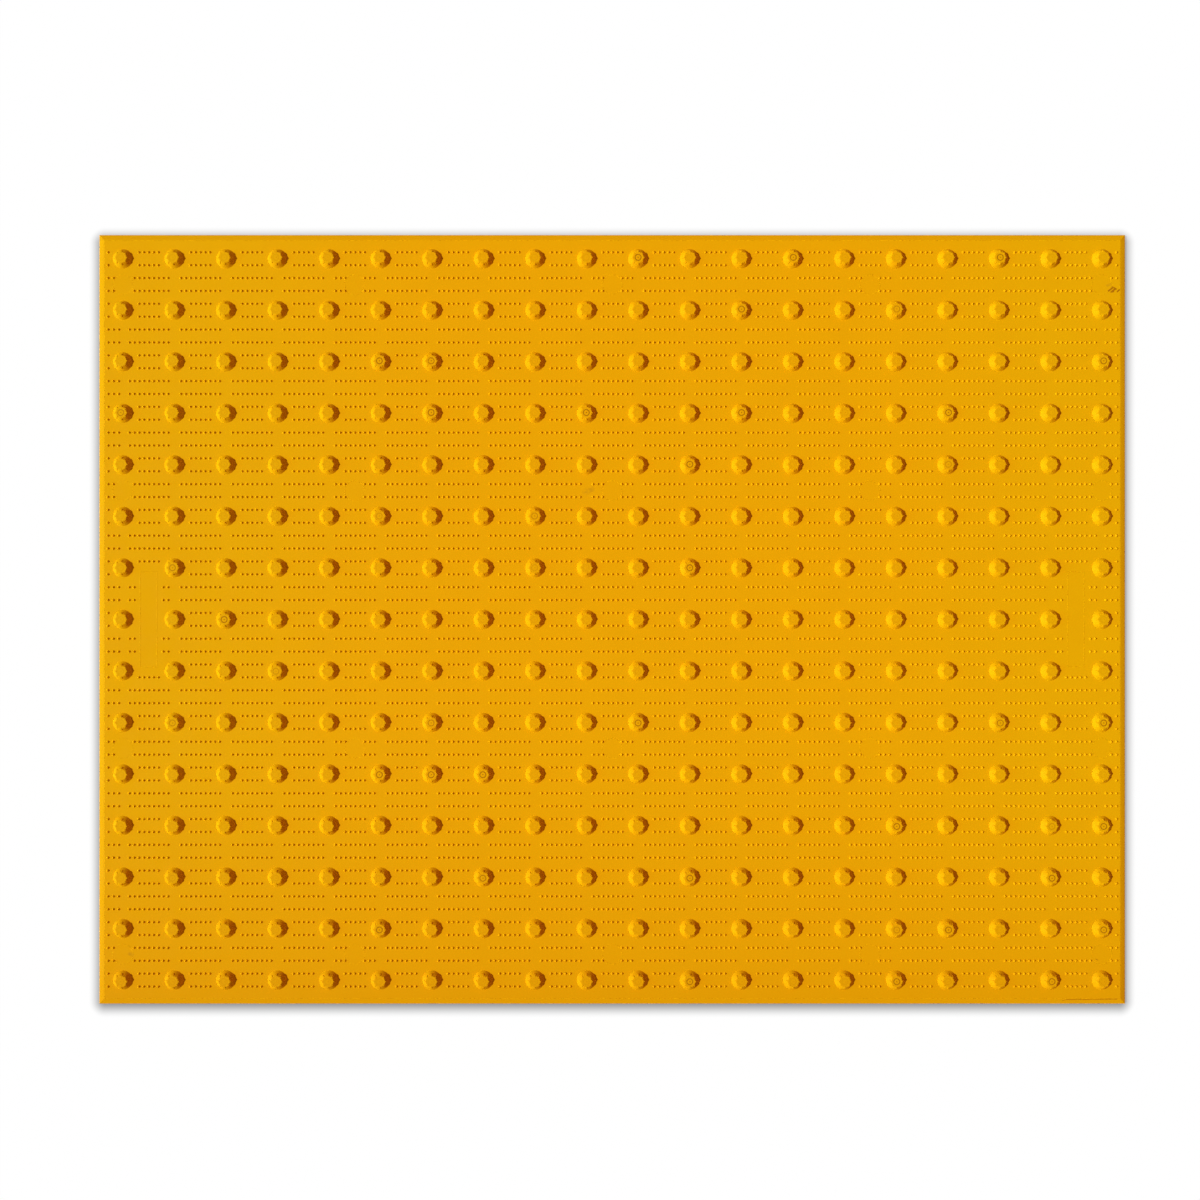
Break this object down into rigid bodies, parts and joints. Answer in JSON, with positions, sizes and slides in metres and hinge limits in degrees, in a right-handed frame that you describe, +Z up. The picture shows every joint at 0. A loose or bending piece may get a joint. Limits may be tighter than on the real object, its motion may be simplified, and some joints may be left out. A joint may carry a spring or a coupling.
{
  "type": "tactile paving slab",
  "caption": "Flat rectangular tactile warning slab with a square grid of truncated domes and bevelled edges, laid at kerbs and platform edges so the domes are felt underfoot.",
  "frame": {"origin": "middle of the flat underside, on the ground", "axes": "+X along the longer side, +Y along the shorter side, +Z up out of the walking face"},
  "size_m": [1.1906, 0.8922, 0.0099],
  "materials": {
    "slab_polymer": "matte"
  },
  "bodies": {
    "root": {"tactile_slab": "slab_polymer"}
  },
  "joints": []
}
